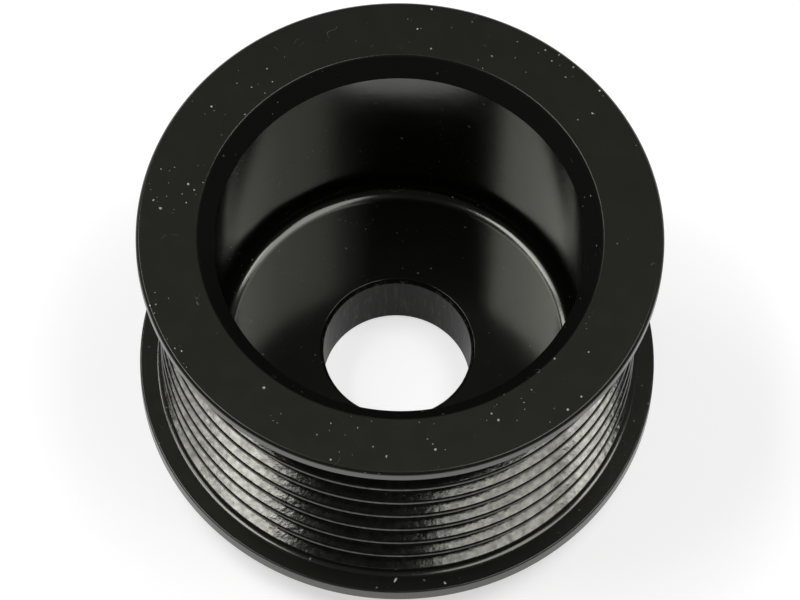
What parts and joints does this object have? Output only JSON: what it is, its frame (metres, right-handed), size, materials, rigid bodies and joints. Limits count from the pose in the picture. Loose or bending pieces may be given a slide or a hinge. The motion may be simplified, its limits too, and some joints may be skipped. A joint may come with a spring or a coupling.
{
  "type": "alternator pulley",
  "caption": "Ribbed belt pulley in one turned piece, with two flanges, a plain shaft bore and a deep recess for the shaft nut.",
  "frame": {"origin": "middle of the hub's rear face, which bears on the shaft's spacer and is the face that the pulley stands on", "axes": "+Z along the bore's axis, from the hub's rear face towards the open front; the part is round about Z"},
  "size_m": [0.0594, 0.0594, 0.0383],
  "materials": {
    "black_coat": "black satin coat on turned steel, with fine turning marks and a little dust"
  },
  "bodies": {
    "root": {"pulley": "black_coat"}
  },
  "joints": []
}
